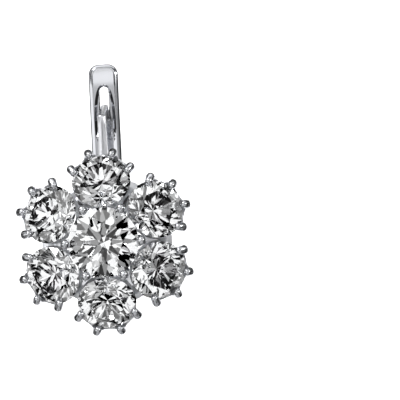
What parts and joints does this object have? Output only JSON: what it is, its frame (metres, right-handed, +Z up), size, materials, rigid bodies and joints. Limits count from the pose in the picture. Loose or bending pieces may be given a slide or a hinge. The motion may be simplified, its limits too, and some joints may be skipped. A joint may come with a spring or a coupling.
{
  "type": "cluster earring",
  "caption": "Round flower cluster earring: cut stones in pronged cups on a base ring, with a fixed ear wire and a hinged lever back.",
  "frame": {"origin": "middle of the ear wire's arm, half way between the post and the lever, where the ear lobe carries it", "axes": "+Z up as worn, -Y out to the front where the stones face, +X to the right as seen from the front"},
  "size_m": [0.011, 0.0098, 0.0173],
  "materials": {
    "metal": "polished white metal",
    "stone": "clear cut stone"
  },
  "bodies": {
    "head": {"setting": "metal", "hinge_pin": "metal", "stone_center": "stone", "stone_1": "stone", "stone_2": "stone", "stone_3": "stone", "stone_4": "stone", "stone_5": "stone", "stone_6": "stone"},
    "lever_back": {"lever": "metal"}
  },
  "joints": [
    {"name": "lever_hinge", "type": "hinge", "parent": "head", "child": "lever_back", "pos_m": [0, -0.00117, -0.01141], "axis": [-1, 0, 0], "range_deg": [0, 60]}
  ]
}
